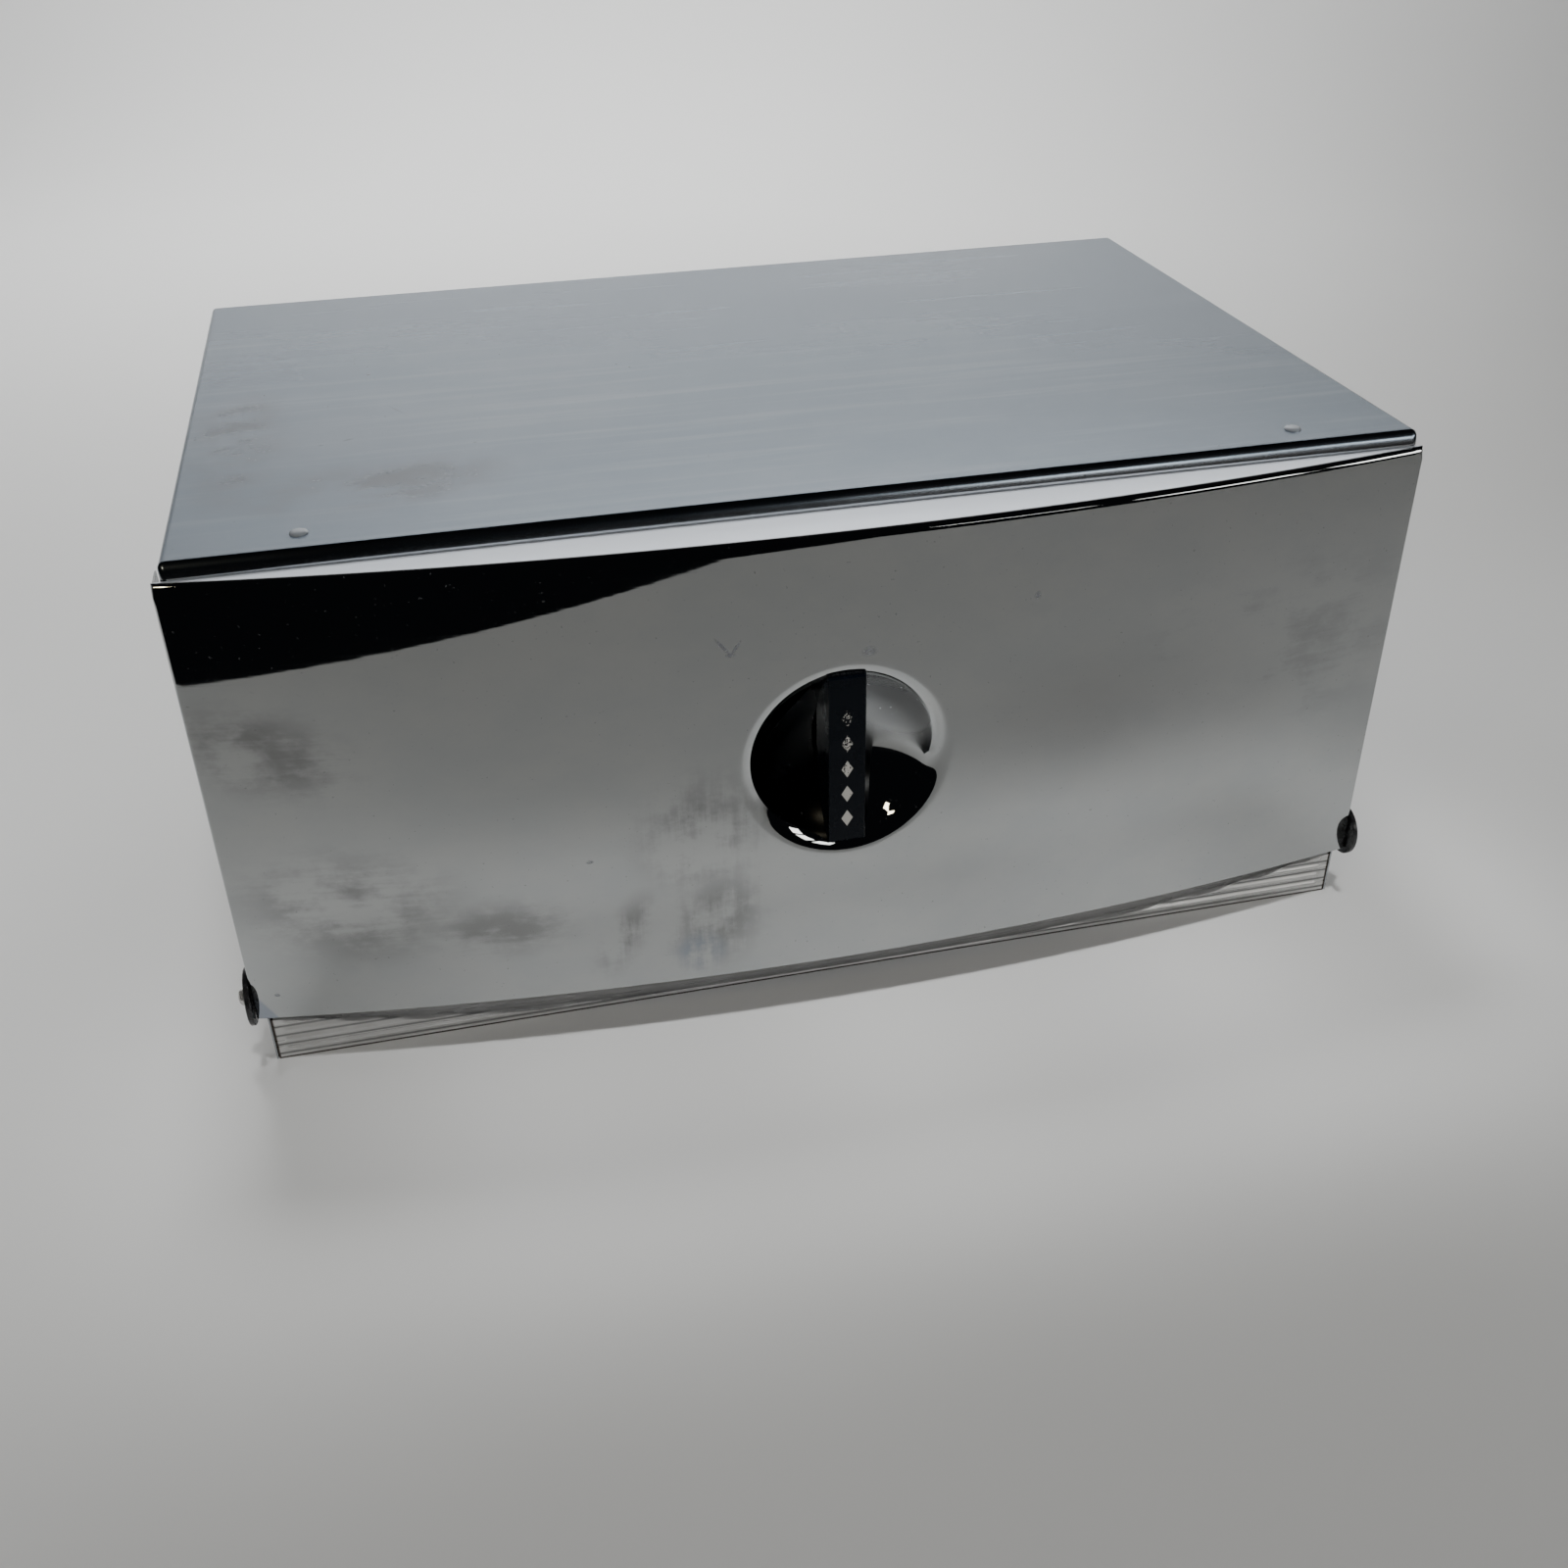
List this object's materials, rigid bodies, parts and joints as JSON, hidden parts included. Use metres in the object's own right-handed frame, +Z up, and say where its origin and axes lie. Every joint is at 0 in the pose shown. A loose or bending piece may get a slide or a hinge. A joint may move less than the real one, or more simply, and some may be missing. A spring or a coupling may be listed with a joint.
{
  "type": "bread box",
  "caption": "Sheet-steel bread box with a flat top, a ribbed plinth and a bow-fronted door that drops forward on side pivots, opened by a bar across a round finger dish.",
  "frame": {"origin": "on the standing surface, under the middle of the overall box", "axes": "+X to the box's right as seen from the front, +Y to the back, +Z up; the door faces -Y"},
  "size_m": [0.4228, 0.2816, 0.1934],
  "materials": {
    "chrome_case": "chrome-plated sheet, finely brushed and dulled by handling",
    "chrome_door": "polished chrome-plated sheet with smudges and fine scratches",
    "chrome_sill": "chrome-plated ribbed strip, satin",
    "tinned_steel": "dull tinned sheet",
    "spring_steel": "bright spring steel",
    "steel": "zinc-plated fasteners",
    "black_fibre": "black fibre washer",
    "black_plastic": "moulded black plastic, semi-gloss"
  },
  "bodies": {
    "case": {"body_shell": "chrome_case", "back_panel": "tinned_steel", "floor_pan": "tinned_steel", "front_sill": "chrome_sill", "pivot_disc_left": "black_fibre", "pivot_disc_right": "black_fibre", "pivot_washer_left": "steel", "pivot_washer_right": "steel", "pivot_spacer_left": "steel", "pivot_spacer_right": "steel", "pivot_screw_left": "steel", "pivot_screw_right": "steel", "pivot_nut_left": "steel", "pivot_nut_right": "steel", "catch_left": "spring_steel", "catch_right": "spring_steel", "catch_rivet_left": "steel", "catch_rivet_right": "steel"},
    "door": {"door_panel": "chrome_door", "handle_bar": "black_plastic", "handle_screw_lower": "steel", "handle_screw_upper": "steel"}
  },
  "joints": [
    {"name": "door_hinge", "type": "hinge", "parent": "case", "child": "door", "pos_m": [0, -0.11845, 0.0273], "axis": [1, 0, 0], "range_deg": [0, 90]}
  ]
}
